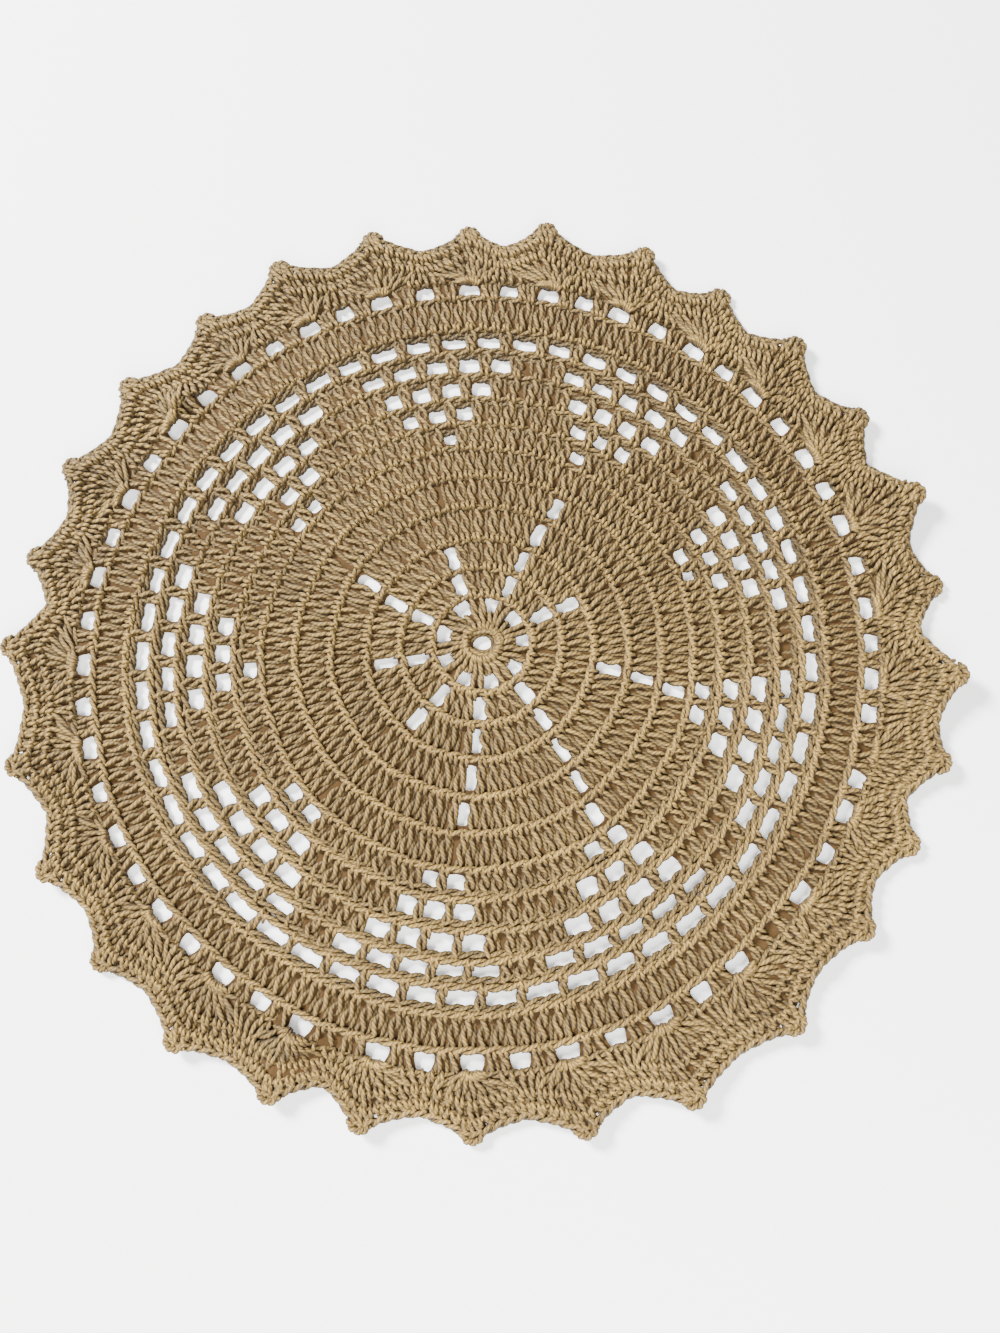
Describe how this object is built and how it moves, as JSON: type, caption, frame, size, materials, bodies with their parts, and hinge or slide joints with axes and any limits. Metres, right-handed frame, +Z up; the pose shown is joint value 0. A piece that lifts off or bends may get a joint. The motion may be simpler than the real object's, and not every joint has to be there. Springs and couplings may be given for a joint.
{
  "type": "crocheted lace doily",
  "caption": "Round crocheted lace doily of beige cotton yarn, lying flat: solid petals parted by open spokes and filet mesh, a solid band and a scalloped edge of picot points.",
  "frame": {"origin": "on the surface that the doily lies on, below the middle of its bounding box", "axes": "+Z up off the surface, through the cloth; +Y towards the far side of the doily as it was pictured from above"},
  "size_m": [0.3648, 0.3564, 0.0087],
  "materials": {
    "cotton_yarn": "natural beige mercerised cotton yarn, crocheted"
  },
  "bodies": {
    "root": {"doily": "cotton_yarn"}
  },
  "joints": []
}
